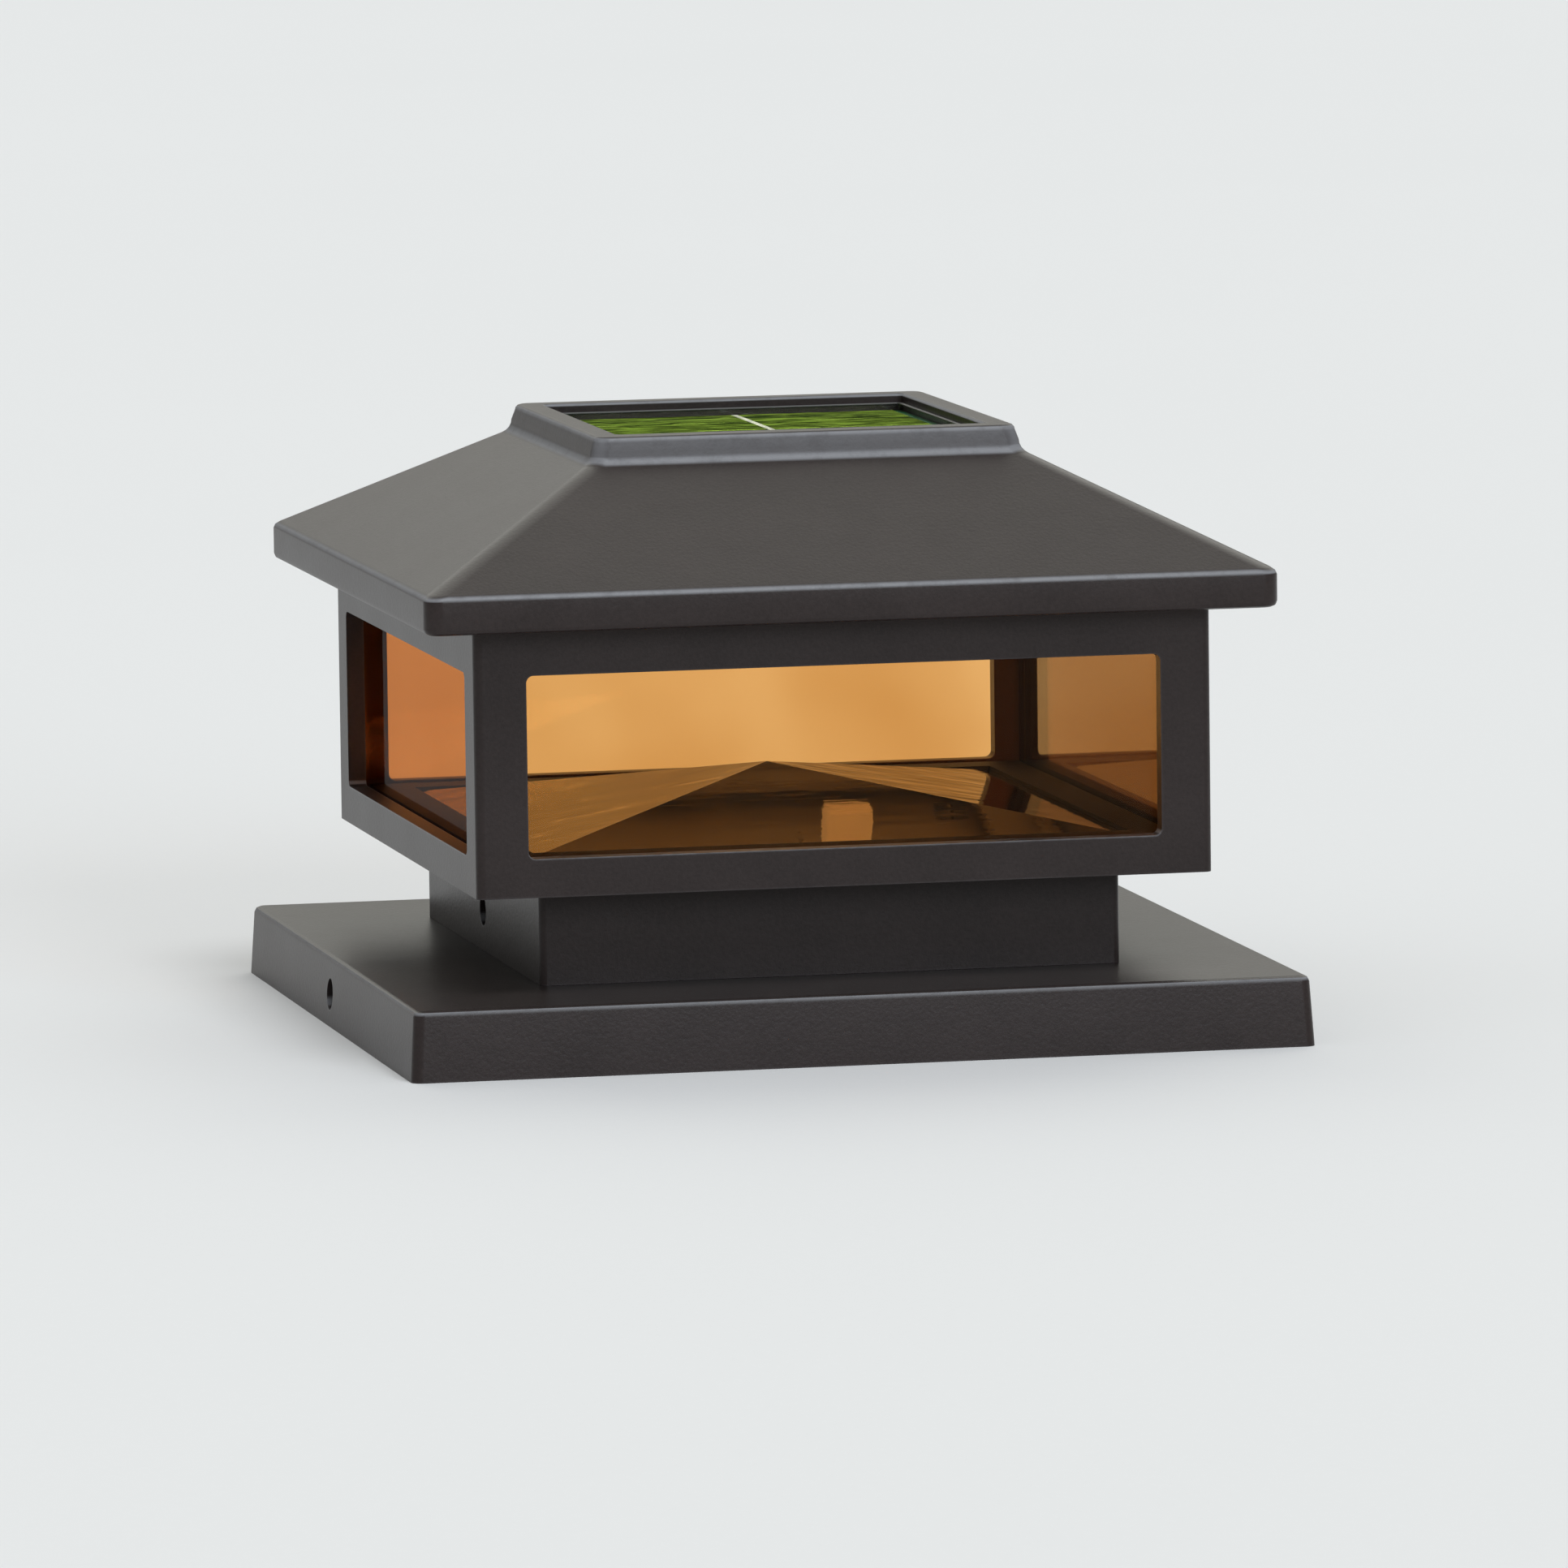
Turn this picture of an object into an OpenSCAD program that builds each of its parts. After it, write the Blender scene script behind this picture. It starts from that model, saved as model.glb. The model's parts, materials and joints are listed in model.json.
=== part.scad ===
// Solar deck post cap light. Lengths are in millimetres and angles in degrees.
// +Z is up, -Y is the front, and the origin is the centre of the skirt's bottom rim.

/* [Skirt] */
// Outer width of the skirt across its top
skirt_w = 148; // [146:1:170]
// Height of the skirt
skirt_h = 11.5; // [10:0.5:25]
// How far each skirt wall leans out at its foot
skirt_draft = 0.7; // [0.2:0.1:1.2]
// Thickness of the skirt's walls and top
skirt_wall = 2.2; // [1.6:0.1:3]
// Diameter of the fixing holes in the skirt and collar
side_hole_d = 5.2; // [3:0.1:5.6]
// Height of the locating rim that stands inside the collar
rim_h = 3.4; // [2:0.1:3.8]
// Thickness of the locating rim
rim_wall = 1.3; // [1:0.1:1.5]

/* [Collar] */
// Outer width of the collar
collar_w = 96.8; // [96:0.2:100]
// Wall of the collar
collar_wall = 2; // [1.5:0.1:2.2]
// Height of the collar between the skirt and the lantern
collar_h = 16; // [14:0.5:40]
// Thickness of the floor plate on top of the collar
floor_t = 2.5; // [2:0.1:4]

/* [Lantern] */
// How far the lantern frame stands out beyond the collar
frame_out = 12.6; // [11:0.1:15]
// Wall of the lantern frame
frame_wall = 3; // [2.6:0.1:4]
// Thickness of the lip under the floor plate
lip_t = 2; // [1.5:0.1:3]
// Width of the upright at each side of a window
stile_w = 8.5; // [7:0.1:14]
// Height of each window
window_h = 29.7; // [20:0.1:34]
// Height of the rail under each window
sill_h = 6.3; // [6:0.1:8]
// Height of the rail over each window
head_h = 8.5; // [8:0.1:14]
// Thickness of the glass
pane_t = 1.6; // [1.2:0.1:2.4]
// Height of the mirror pyramid above its flange
pyramid_h = 8.6; // [5:0.1:12]
// Width of the flat flange round the mirror pyramid
mirror_flange = 6.7; // [4:0.1:12]

/* [Roof] */
// How far the roof's rim stands out beyond the lantern frame
roof_out = 9.45; // [8:0.05:13]
// Height of the upright face of the rim
eave_h = 6.2; // [5:0.1:7]
// Slope of the roof
roof_slope = 27.4; // [26:0.2:28.5]
// Wall of the roof casting
roof_wall = 2.2; // [1.8:0.1:2.4]
// Width of the solar crown at its top
crown_w = 70.6; // [66:0.2:76]
// Height of the crown above the head of the slope
crown_h = 4.1; // [3.6:0.1:8]
// How far each crown wall leans out at its foot
crown_draft = 0.5; // [0.3:0.1:1.4]
// Width of the crown's top round the solar panel
crown_wall = 4.6; // [3.4:0.1:5.4]
// Depth of the panel's face below the top of the crown
well_depth = 1.8; // [1:0.1:2.2]

/* [Electrics] */
// Diameter of the battery cell
cell_d = 14.2; // [10:0.1:14.4]
// Length of the battery cell
cell_l = 50.5; // [40:0.5:52]
// Width of the lamp block
lamp_w = 8; // [6:0.1:10]
// Depth of the lamp block
lamp_d = 4; // [3:0.1:6]
// Distance of the lamp block to the right of the centre
lamp_x = 18.4; // [15:0.1:22]
// Distance of the lamp block behind the centre
lamp_y = 15.9; // [14:0.1:22]
// Width of the circuit board
board_w = 40; // [36:0.5:42]
// Depth of the circuit board
board_d = 21; // [20:0.5:24]
// Travel of the switch
switch_travel = 3; // [2:0.1:3.4]

/* [Hidden] */

$fn = 48;
corner_steps = 6;       // facets in each rounded corner of a lofted ring
fit_gap = 0.1;          // gap between pieces that only sit side by side
slip_gap = 0.3;         // gap between pieces that slide or lift apart
cut = 1;                // how far a cutting solid runs past the face it cuts

// Skirt
skirt_half = skirt_w / 2;
skirt_foot = skirt_half + skirt_draft;
skirt_round = 1;
skirt_corner = 1.8;
skirt_ceiling = skirt_h - skirt_wall;
skirt_hole_z = skirt_ceiling * 0.57;

// Collar and floor plate
collar_half = collar_w / 2;
collar_bore = collar_half - collar_wall;
collar_corner = 1.2;
collar_bore_corner = 0.8;
collar_hole_z = skirt_h + 6.8;
groove_depth = 0.8;      // how far the collar's top reaches into the floor plate
groove_gap = 0.05;
rim_half = collar_bore - slip_gap;
rim_bore = rim_half - rim_wall;

// Lantern frame
frame_z = skirt_h + collar_h;
frame_half = collar_half + frame_out;
frame_bore = frame_half - frame_wall;
frame_h = sill_h + window_h + head_h;
frame_top = frame_z + frame_h;
frame_corner = 1.5;
bore_corner = 0.6;
lip_half = collar_half + slip_gap;
window_w = 2 * (frame_half - stile_w);
window_z = frame_z + sill_h;
window_top = window_z + window_h;
window_corner = 1.2;
floor_z = frame_z + lip_t;
floor_top = floor_z + floor_t;
floor_half = frame_bore - fit_gap;

// Glass, mirror and glazing frames
pane_out = frame_bore - fit_gap;
pane_in = pane_out - pane_t;
glazing_out = pane_in - fit_gap;
glazing_t = 2;
glazing_in = glazing_out - glazing_t;
mirror_t = 0.8;
mirror_top = floor_top + mirror_t;
pyramid_half = glazing_out - mirror_flange;
lower_glazing_h = 0.7;
lower_glazing_in = pyramid_half + fit_gap;
upper_plate_t = 2;
upper_lip_h = 2;
pane_clear = 0.1;                                   // gap over the top edge of the glass
upper_plate_over = 4.9;                             // height of the plate over the windows
upper_plate_w = 10.3;                               // how far the plate reaches inside the glass
upper_plate_z = window_top + upper_plate_over;
upper_plate_top = upper_plate_z + upper_plate_t;
upper_opening = pane_in - upper_plate_w;
pane_h = upper_plate_z - pane_clear - floor_top;
snap_w = 10;
snap_h = 1;
snap_reach = 0.45;
snap_gap = 0.2;

// Screws: shank diameter, head diameter, head height
screw_d = 3;
screw_head_d = 5.6;
screw_head_h = 1.5;
screw_hole_d = screw_d + 0.4;
pilot_d = screw_d + 0.06;
frame_screw_at = (lip_half + frame_bore) / 2;
tray_screw_at = upper_opening - 3;
tray_screw_l = 10;
boss_d = 7;
slot_l = 3.2;
slot_cut = 0.8;

// Magnets and their keepers
magnet_d = 8;
magnet_out = 0.6;        // how far the magnets stand outside the middle of the plate
magnet_at = (upper_opening + glazing_out) / 2 + magnet_out;
keeper_t = 1;
cup_wall = 1;

// Roof
gasket_t = 1;
gasket_wall = 2.4;
eave_drop = 0.7;                                    // how far the rim hangs below the frame's top
eave_step = 0.3;                                    // height of the rounding over the rim's face
roof_z = frame_top - eave_drop;
roof_half = frame_half + roof_out;
eave_round = 1;
slope_rise = tan(roof_slope);
slope_z = roof_z + eave_h + eave_step;
slope_half = roof_half - eave_round;
crown_half = crown_w / 2;
crown_foot = crown_half + crown_draft;
crown_foot_z = slope_height(crown_foot);
roof_top = crown_foot_z + crown_h;
crown_cove = 2.6;                                   // radius of the hollow at the crown's foot
crown_round = 1;
crown_corner = 2.8;
hip_round = 3;
well_round = 0.4;
well_half = crown_half - crown_wall;
panel_face = roof_top - well_depth;
inner_drop = roof_wall / cos(roof_slope);           // upright distance between the slope's two faces
eave_bore = roof_half - roof_wall;

// Solar panel stack, from the ledge up
cover_t = 1.2;
wafer_t = 0.25;
backboard_t = 1.4;
seal_t = 0.6;
cover_z = panel_face - cover_t;
wafer_z = cover_z - wafer_t;
backboard_z = wafer_z - backboard_t;
ledge_z = backboard_z - seal_t;
ledge_t = 2;
ledge_w = 2.7;
ledge_half = well_half - ledge_w;
ledge_under = ledge_z - ledge_t;
panel_half = well_half - fit_gap;
wafer_rows = 4;
wafer_gap = 0.8;
wafer_edge = 2;
wafer_half = panel_half - wafer_edge;
busbar_x = 1.3;
busbar_w = 1;

// Tray under the roof
tray_z = frame_top + gasket_t;
tray_t = 2;
tray_top = tray_z + tray_t;
tray_half = eave_bore - slip_gap;
plug_half = glazing_out + 1;
plug_wall = 1.6;
plug_z = upper_plate_top + slip_gap;

// Battery box and its sliding door
box_wall = 1.6;
cell_gap = 0.5;
cell_y = -18;
box_half_w = cell_d / 2 + cell_gap;
spring_l = 3;
contact_t = 0.5;
contact_w = 9;
contact_h = 10;
tab_h = 2.2;
tab_out = 1;             // how far the tab reaches past the box
tab_rise = 1.6;          // height of the contact's tab above the middle of the cell
box_half_l = (cell_l + spring_l + 2 * contact_t) / 2 + 0.1;
door_t = 1.6;
door_top = tray_z - 0.2;
door_z = door_top - door_t;
cell_z = door_top + slip_gap + cell_d / 2;
box_top = cell_z + cell_d / 2 + cell_gap + box_wall;
cell_x = -box_half_l + 0.1 + contact_t + spring_l;  // the cell's spring end
door_half_w = box_half_w + 1.2;
door_half_l = box_half_l + 1.2;
rail_gap = 0.25;
rail_wall = 1.4;
rail_hook = 1.2;
rail_hook_t = 0.9;
grip_ribs = 4;
grip_pitch = 2.2;
grip_h = 0.5;

// Circuit board and what stands on it
board_x = -16;
board_y = 19;
board_t = 1.6;
board_screw_d = 2;
board_screw_l = 4;
board_screw_head_d = 4;
board_screw_head_h = 1.2;
switch_x = board_x - board_w / 5;
switch_y = 17;
switch_w = 8.6;
switch_d = 4.6;
switch_h = 3.6;
board_z = tray_top + switch_h;
board_top = board_z + board_t;
post_d = 6;
post_x = board_w / 2 - post_d / 2;
post_y = board_y + board_d / 2 - post_d / 2;
stem_w = 2;
stem_out = 1.6;          // how far the switch's stem stands out on both sides of the tray
stem_z = tray_z - stem_out;
stem_top = tray_top + stem_out;
slot_w = stem_w + switch_travel + 2 * slip_gap;
slot_d = stem_w + 2 * slip_gap;
chip_w = 5;
chip_d = 4;
chip_h = 1.6;
chip_x = board_x + 0.15 * board_w;
capacitor_d = 6.3;
capacitor_h = 7;
capacitor_x = board_x - 0.075 * board_w;
coil_d = 8;
coil_core = 4;
coil_h = 4.6;
coil_x = board_x + board_w / 2 - coil_d / 2;
parts_y = board_y + 1;

// Lamp under the tray
holder_wall = 3;
holder_h = 7;
holder_z = tray_z - holder_h;
lamp_gap = 0.1;
lamp_board_t = 1.2;
emitter_w = 3.2;
emitter_t = 0.9;
lamp_board_z = tray_z - lamp_board_t;
emitter_z = lamp_board_z - emitter_t;
lamp_top = emitter_z - 0.2;
lamp_l = 12.5;
lamp_z = lamp_top - lamp_l;

// Wires
wire_r = 0.6;
wire_pitch = 2;
wire_reach = 7;          // how far a wire runs on before it turns
wire_in = 2.5;           // distance of a wire from the board's edge
wire_steps = 10;
wire_sides = 8;
lamp_wire_in = 3;        // how far left of the lamp block its wires leave

powder_coat = [0.17, 0.15, 0.15];
black_plastic = [0.08, 0.08, 0.08];
amber = [0.95, 0.62, 0.25, 0.6];
steel = [0.72, 0.72, 0.72];

// Height of the roof's outer face at a distance from the centre
function slope_height(half) = slope_z + (slope_half - half) * slope_rise;

// A level square ring with rounded corners, from [half width, height, corner radius]
function ring(p) = [for (quarter = [0:3]) for (s = [0:corner_steps])
    let (a = 90 * (quarter + s / corner_steps))
    let (side_x = quarter == 0 || quarter == 3 ? 1 : -1)
    let (side_y = quarter < 2 ? 1 : -1)
    [side_x * (p[0] - p[2]) + p[2] * cos(a), side_y * (p[0] - p[2]) + p[2] * sin(a), p[1]]];

// A wall that runs round the square, from its cross-section's corners, listed up the outside
module square_wall(profile) {
    n = 4 * (corner_steps + 1);
    m = len(profile);
    points = [for (p = profile) each ring(p)];
    faces = [for (i = [0:m - 1]) for (j = [0:n - 1])
        let (a = i * n + j, b = i * n + (j + 1) % n)
        let (c = (i + 1) % m * n + (j + 1) % n, d = (i + 1) % m * n + j)
        each [[a, d, c], [a, c, b]]];
    polyhedron(points, faces, convexity = 6);
}

// A square plate or block with rounded upright corners
module square_block(half, z, h, r = 0.5) {
    translate([0, 0, z]) linear_extrude(h) rounded_square(2 * half, 2 * half, r);
}

module rounded_square(w, d, r) {
    union() {
        square([w - 2 * r, d], center = true);
        square([w, d - 2 * r], center = true);
        for (x = [-1, 1], y = [-1, 1]) translate([x * (w / 2 - r), y * (d / 2 - r)]) circle(r);
    }
}

// A straight square ring
module square_ring(out, inside, z, h, r = 0.5, r_in = 0.4) {
    difference() {
        square_block(out, z, h, r);
        square_block(inside, z - cut, h + 2 * cut, r_in);
    }
}

// A box centred in X and Y, standing at z
module block(w, d, h, at) {
    translate([at[0] - w / 2, at[1] - d / 2, at[2]]) cube([w, d, h]);
}

module on_four_sides() {
    for (a = [0, 90, 180, 270]) rotate(a) children();
}

module on_four_corners(at) {
    for (x = [-1, 1], y = [-1, 1]) translate([x * at, y * at, 0]) children();
}

// A countersunk screw that points up, with the face of its head at z
module screw_up(z, l) {
    translate([0, 0, z]) difference() {
        union() {
            cylinder(d1 = screw_head_d, d2 = screw_d, h = screw_head_h);
            cylinder(d = screw_d, h = l);
        }
        for (turn = [0, 90]) rotate(turn) block(slot_cut, slot_l, slot_cut + cut, [0, 0, -cut]);
    }
}

// The hole for that screw in a plate whose lower face is at z
module screw_seat(z, t) {
    translate([0, 0, z - cut]) cylinder(d = screw_hole_d, h = t + 2 * cut);
    translate([0, 0, z - fit_gap])
        cylinder(d1 = screw_head_d + 4 * fit_gap, d2 = screw_d, h = screw_head_h + 2 * fit_gap);
}

// A round wire along a path; side is a direction that the path never takes
module tube(path, r, side) {
    m = len(path);
    points = [for (i = [0:m - 1])
        let (t = path[min(i + 1, m - 1)] - path[max(i - 1, 0)])
        let (u = cross(side, t) / norm(cross(side, t)), v = cross(t, u) / norm(t))
        for (s = [0:wire_sides - 1])
        let (a = 360 * s / wire_sides)
        path[i] + r * (cos(a) * u + sin(a) * v)];
    wall = [for (i = [0:m - 2]) for (s = [0:wire_sides - 1])
        let (a = i * wire_sides + s, b = i * wire_sides + (s + 1) % wire_sides)
        each [[a, a + wire_sides, b + wire_sides], [a, b + wire_sides, b]]];
    start = [[for (s = [0:wire_sides - 1]) s]];
    end = [[for (s = [0:wire_sides - 1]) m * wire_sides - 1 - s]];
    polyhedron(points, concat(wall, start, end), convexity = 4);
}

// A smooth path that leaves p along a and arrives at q along b, with a short straight at each end
function bend(p, a, q, b) =
    let (p1 = p + wire_r * a / norm(a), q1 = q - wire_r * b / norm(b))
    concat([p], [for (i = [0:wire_steps])
        let (t = i / wire_steps, s = 1 - t)
        s * s * s * p1 + 3 * s * s * t * (p1 + a) + 3 * s * t * t * (q1 - b) + t * t * t * q1], [q]);

// ---- The skirt, which stands on the post

module post_skirt() {
    color(powder_coat) difference() {
        square_wall([
            [skirt_foot, 0, skirt_corner],
            [skirt_half + skirt_draft * skirt_round / skirt_h, skirt_h - skirt_round, skirt_corner],
            [skirt_half - skirt_round * 0.29, skirt_h - skirt_round * 0.29, skirt_corner * 0.8],
            [skirt_half - skirt_round, skirt_h, skirt_corner * 0.5],
            [rim_half, skirt_h, 0.8],
            [rim_half, skirt_h + rim_h - 0.4, 0.8],
            [rim_half - 0.4, skirt_h + rim_h, 0.6],
            [rim_bore, skirt_h + rim_h, 0.4],
            [rim_bore, skirt_ceiling, 0.4],
            [skirt_half - skirt_wall, skirt_ceiling, 1],
            [skirt_foot - skirt_wall, 0, 1]]);
        for (side = [-1, 1]) translate([side * (skirt_foot + cut), 0, skirt_hole_z])
            rotate([0, -90 * side, 0])
            cylinder(d = side_hole_d, h = skirt_wall + skirt_draft + 2 * cut);
    }
}

// ---- The lantern, which lifts off the skirt

module post_collar() {
    color(powder_coat) difference() {
        square_ring(collar_half, collar_bore, skirt_h, floor_z + groove_depth - skirt_h,
            collar_corner, collar_bore_corner);
        for (side = [-1, 1]) translate([side * (collar_half + cut), 0, collar_hole_z])
            rotate([0, -90 * side, 0]) cylinder(d = side_hole_d, h = collar_wall + 2 * cut);
    }
}

// Welded to the collar, whose top sits in its groove, and screwed to the lantern frame
module floor_plate() {
    color(powder_coat) difference() {
        square_block(floor_half, floor_z, floor_t, bore_corner);
        square_ring(collar_half + groove_gap, collar_bore - groove_gap, floor_z - cut, groove_depth + cut,
            collar_corner, collar_bore_corner);
        on_four_sides() translate([0, frame_screw_at, floor_z - cut])
            cylinder(d = pilot_d, h = floor_t + 2 * cut);
    }
}

module lantern_frame() {
    color(powder_coat) difference() {
        square_block(frame_half, frame_z, frame_h, frame_corner);
        square_block(lip_half, frame_z - cut, lip_t + 2 * cut, collar_corner);
        square_block(frame_bore, floor_z, frame_h, bore_corner);
        on_four_sides() {
            translate([0, -frame_half - cut, window_z + window_h / 2]) rotate([-90, 0, 0])
                linear_extrude(frame_wall + 2 * cut) rounded_square(window_w, window_h, window_corner);
            translate([0, frame_screw_at, 0]) screw_seat(frame_z, lip_t);
            block(snap_w + 2 * snap_gap, 2 * (snap_reach + snap_gap), snap_h + 2 * snap_gap,
                [0, -frame_bore, upper_plate_z + upper_plate_t / 2 - snap_h / 2 - snap_gap]);
        }
    }
}

module frame_screws() {
    color(steel) on_four_sides() translate([0, frame_screw_at, 0])
        screw_up(frame_z, lip_t + floor_t - 0.2);
}

module pyramid(half, z, h) {
    polyhedron([[-half, -half, z], [half, -half, z], [half, half, z], [-half, half, z], [0, 0, z + h]],
        [[0, 1, 2, 3], [1, 0, 4], [2, 1, 4], [3, 2, 4], [0, 3, 4]]);
}

module mirror_pyramid() {
    color([0.85, 0.6, 0.45]) difference() {
        union() {
            square_block(glazing_out, floor_top, mirror_t);
            pyramid(pyramid_half, mirror_top, pyramid_h);
        }
        pyramid(pyramid_half, floor_top, pyramid_h);
    }
}

module front_glass() {
    color(amber) block(2 * (pane_out - bore_corner), pane_t, pane_h,
        [0, -(pane_out + pane_in) / 2, floor_top]);
}

module side_glass() {
    color(amber) block(pane_t, 2 * (pane_in - fit_gap), pane_h, [(pane_out + pane_in) / 2, 0, floor_top]);
}

module pane_front() {
    front_glass();
}

module pane_back() {
    mirror([0, 1, 0]) front_glass();
}

module pane_left() {
    mirror([1, 0, 0]) side_glass();
}

module pane_right() {
    side_glass();
}

module lower_glazing_frame() {
    color(powder_coat) square_ring(glazing_out, lower_glazing_in, mirror_top, lower_glazing_h);
}

module upper_glazing_frame() {
    color(black_plastic) difference() {
        union() {
            square_ring(pane_out, upper_opening, upper_plate_z, upper_plate_t, bore_corner, 2);
            square_ring(glazing_out, glazing_in, upper_plate_z - upper_lip_h, upper_lip_h + 0.1);
            on_four_sides()
                block(snap_w, 2 * (snap_reach + fit_gap), snap_h,
                    [0, -pane_out, upper_plate_z + upper_plate_t / 2 - snap_h / 2]);
        }
        on_four_corners(magnet_at) translate([0, 0, upper_plate_top - keeper_t])
            cylinder(d = magnet_d + fit_gap, h = keeper_t + cut);
    }
}

module keeper_plates() {
    color(steel) on_four_corners(magnet_at) translate([0, 0, upper_plate_top - keeper_t])
        cylinder(d = magnet_d, h = keeper_t);
}

module roof_gasket() {
    color(black_plastic)
        square_ring(frame_half - 0.6, frame_half - 0.6 - gasket_wall, frame_top, gasket_t, 1.2, 0.8);
}

// ---- The roof, which lifts off the lantern

module roof_shell() {
    color(powder_coat) difference() {
        union() {
            square_wall([
                [roof_half - eave_round, roof_z, hip_round - eave_round],
                [roof_half - eave_round * 0.29, roof_z + eave_round * 0.29, hip_round - 0.3],
                [roof_half, roof_z + eave_round, hip_round],
                [roof_half, roof_z + eave_h - 0.9, hip_round],
                [roof_half - 0.25, roof_z + eave_h - 0.25, hip_round],
                [slope_half, slope_z, hip_round],
                each crown_hollow(4),
                each crown_edge(3),
                [well_half + well_round, roof_top, 1.2],
                [well_half, roof_top - well_round, 0.8],
                [well_half, ledge_z, 0.8],
                [ledge_half, ledge_z, 0.8],
                [ledge_half, ledge_under, 0.8],
                [inner_half(ledge_under), ledge_under, 1.5],
                [eave_bore - 1, inner_height(eave_bore - 1), 1.8],
                [eave_bore, inner_height(eave_bore) - 0.6, 1.8],
                [eave_bore, roof_z, 1.8]]);
            on_four_corners(tray_screw_at) translate([0, 0, tray_top])
                cylinder(d = boss_d, h = inner_height(tray_screw_at) - tray_top);
        }
        on_four_corners(tray_screw_at) translate([0, 0, tray_top - cut])
            cylinder(d = pilot_d, h = tray_screw_l - tray_t + 1 + cut);
    }
}

// The hollow that leads from the slope up into the crown's wall
function crown_hollow(steps) = [for (s = [0:steps])
    let (a = (90 - roof_slope) * (1 - s / steps))
    [crown_foot + crown_cove * (1 - cos(a)),
        crown_foot_z + crown_cove * (tan((90 - roof_slope) / 2) - sin(a)), crown_corner]];

// The rounded edge round the crown's top
function crown_edge(steps) = [for (s = [0:steps])
    let (a = 90 * s / steps, inset = crown_round * (1 - cos(a)))
    [crown_half - inset, roof_top - crown_round * (1 - sin(a)), crown_corner - inset]];

// Height of the roof's inner face at a distance from the centre, and the distance at a height
function inner_height(half) = slope_height(half) - inner_drop;
function inner_half(z) = slope_half - (z + inner_drop - slope_z) / slope_rise;

// Closes the roof from below and carries everything inside it
module roof_tray() {
    color(black_plastic) difference() {
        union() {
            square_block(tray_half, tray_z, tray_t, 1.6);
            square_ring(plug_half, plug_half - plug_wall, plug_z, tray_z - plug_z + 0.1);
            on_four_corners(magnet_at) translate([0, 0, plug_z])
                cylinder(d = magnet_d + 2 * cup_wall + fit_gap, h = tray_z - plug_z + 0.1);
            block(2 * (box_half_l + box_wall), 2 * (box_half_w + box_wall), box_top - tray_top + 0.1,
                [0, cell_y, tray_top - 0.1]);
            door_rails();
            for (x = [-1, 1]) translate([board_x + x * post_x, post_y, tray_top - 0.1])
                cylinder(d = post_d, h = board_z - tray_top + 0.1);
        }
        on_four_corners(magnet_at) translate([0, 0, plug_z - cut])
            cylinder(d = magnet_d + fit_gap, h = tray_z - plug_z + cut);
        on_four_corners(tray_screw_at) screw_seat(tray_z, tray_t);
        block(2 * box_half_l, 2 * box_half_w, box_top - box_wall - tray_z + cut, [0, cell_y, tray_z - cut]);
        for (x = [-1, 1]) {
            block(2 * wire_r + 1.6, box_wall + 2 * cut, tab_h + 4 * slip_gap,
                [x * (box_half_l - 1), cell_y + box_half_w + box_wall / 2, cell_z + tab_rise - 2 * slip_gap]);
            translate([board_x + x * post_x, post_y, board_top - board_screw_l - slip_gap])
                cylinder(d = board_screw_d + 0.06, h = board_screw_l);
        }
        block(slot_w, slot_d, tray_t + 2 * cut, [switch_x + switch_travel / 2, switch_y, tray_z - cut]);
        block(3, 2 * wire_pitch, tray_t + 2 * cut,
            [lamp_x - lamp_wire_in, lamp_y + wire_pitch / 2, tray_z - cut]);
    }
}

// Two hooked rails that carry the door under the tray, and the stop at their closed end
module door_rails() {
    rail_in = door_half_w + rail_gap;
    hook_z = door_z - rail_gap - rail_hook_t;
    rail_h = tray_z - hook_z + 0.1;
    for (side = [-1, 1]) translate([0, cell_y, 0]) {
        block(2 * door_half_l, rail_wall, rail_h, [0, side * (rail_in + rail_wall / 2), hook_z]);
        block(2 * door_half_l, rail_hook + rail_wall, rail_hook_t,
            [0, side * (rail_in + (rail_wall - rail_hook) / 2), hook_z]);
    }
    block(rail_wall, 2 * (rail_in + rail_wall), rail_h,
        [-door_half_l - rail_gap - rail_wall / 2, cell_y, hook_z]);
}

module tray_screws() {
    color(steel) on_four_corners(tray_screw_at) screw_up(tray_z, tray_screw_l);
}

module roof_magnets() {
    color(steel) on_four_corners(magnet_at) translate([0, 0, upper_plate_top + fit_gap])
        cylinder(d = magnet_d, h = tray_z - upper_plate_top - fit_gap);
}

module panel_seal() {
    color(black_plastic) square_ring(panel_half, ledge_half + 0.4, ledge_z, seal_t);
}

module panel_backboard() {
    color([0.1, 0.25, 0.15]) square_block(panel_half, backboard_z, backboard_t);
}

module solar_cells() {
    row_d = (2 * wafer_half - (wafer_rows - 1) * wafer_gap) / wafer_rows;
    color([0.08, 0.1, 0.16]) for (row = [0:wafer_rows - 1])
        block(2 * wafer_half, row_d, wafer_t,
            [0, -wafer_half + row_d / 2 + row * (row_d + wafer_gap), wafer_z]);
}

module solar_busbar() {
    color(steel) block(busbar_w, 2 * wafer_half - 1, 0.1, [busbar_x, 0, cover_z]);
}

module panel_cover() {
    color([0.75, 0.85, 0.85, 0.3]) difference() {
        square_block(panel_half, cover_z, cover_t);
        block(busbar_w + 0.1, 2 * wafer_half - 0.9, 0.12 + cut, [busbar_x, 0, cover_z - cut]);
    }
}

module panel_bead() {
    color([0.45, 0.45, 0.45]) square_ring(well_half - 0.05, well_half - 0.75, panel_face, 0.3, 0.7, 0.3);
}

// ---- Battery, its contacts and its door

module battery_cell() {
    nub_l = 1;
    nub_d = 5.5;
    color([0.25, 0.45, 0.3]) translate([cell_x, cell_y, cell_z]) rotate([0, 90, 0]) {
        cylinder(d = cell_d, h = cell_l - nub_l);
        cylinder(d = nub_d, h = cell_l);
    }
}

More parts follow.
